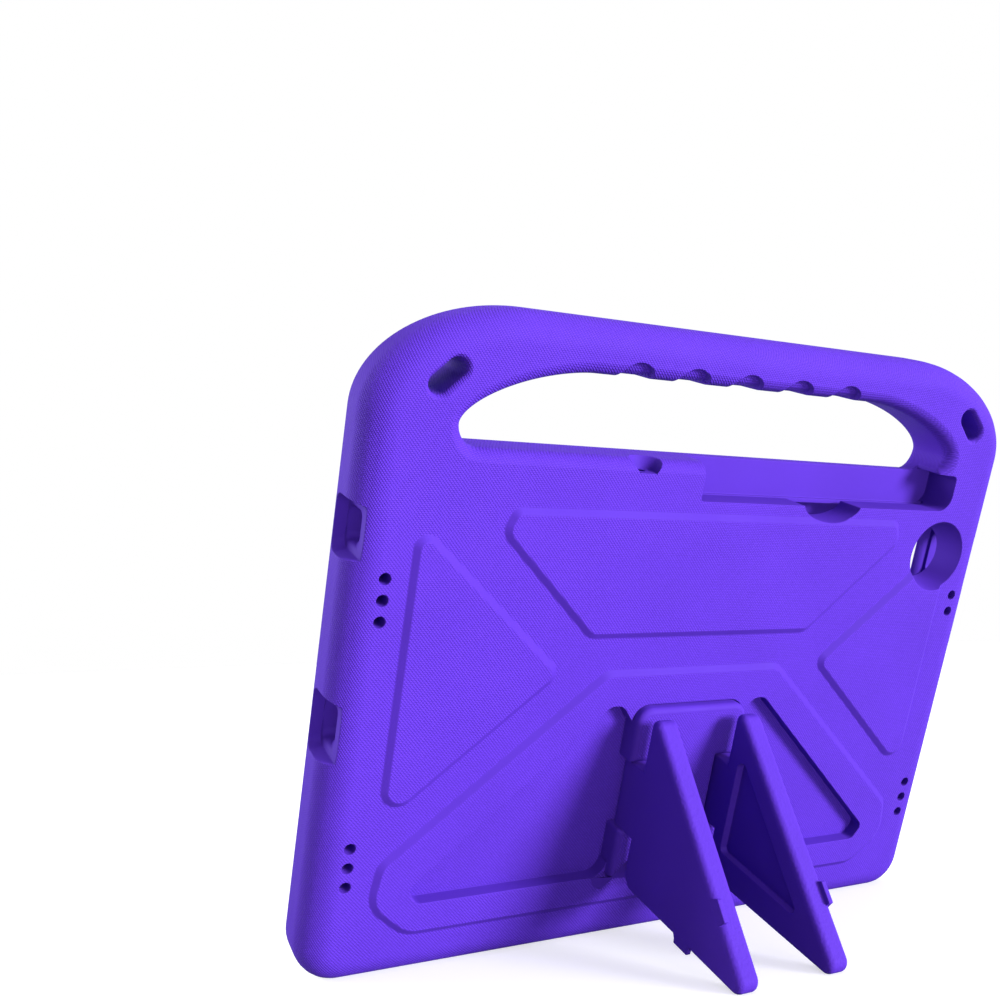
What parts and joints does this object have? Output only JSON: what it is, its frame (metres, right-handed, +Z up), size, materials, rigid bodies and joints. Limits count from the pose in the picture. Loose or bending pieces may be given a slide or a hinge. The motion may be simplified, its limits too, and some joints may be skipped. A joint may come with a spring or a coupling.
{
  "type": "kids tablet case",
  "caption": "Foam tablet case with a carrying handle, finger scoops and a stand of fold-out triangular legs, leaning back on its legs.",
  "frame": {"origin": "middle of the flat strip on the rear bottom edge, where the leaning case stands on the table", "axes": "+Z up; the screen side faces -Y and up, the legs reach towards +Y; +X is to the right as seen from the screen side"},
  "size_m": [0.27, 0.1036, 0.2128],
  "materials": {
    "violet_foam": "matt closed-cell foam with a fine woven emboss",
    "pin_steel": "plain"
  },
  "bodies": {
    "case": {"case_body": "violet_foam", "stand_bracket": "violet_foam", "hinge_pin_left": "pin_steel", "hinge_pin_right": "pin_steel"},
    "leg_left": {"stand_leg_left": "violet_foam"},
    "leg_right": {"stand_leg_right": "violet_foam"}
  },
  "joints": [
    {"name": "left_leg_fold", "type": "hinge", "parent": "case", "child": "leg_left", "pos_m": [0.0184, 0.03066, 0.05416], "axis": [0, -0.3807, -0.9247], "range_deg": [0, 90]},
    {"name": "right_leg_fold", "type": "hinge", "parent": "case", "child": "leg_right", "pos_m": [-0.0184, 0.03066, 0.05416], "axis": [0, 0.3807, 0.9247], "range_deg": [0, 90]}
  ]
}
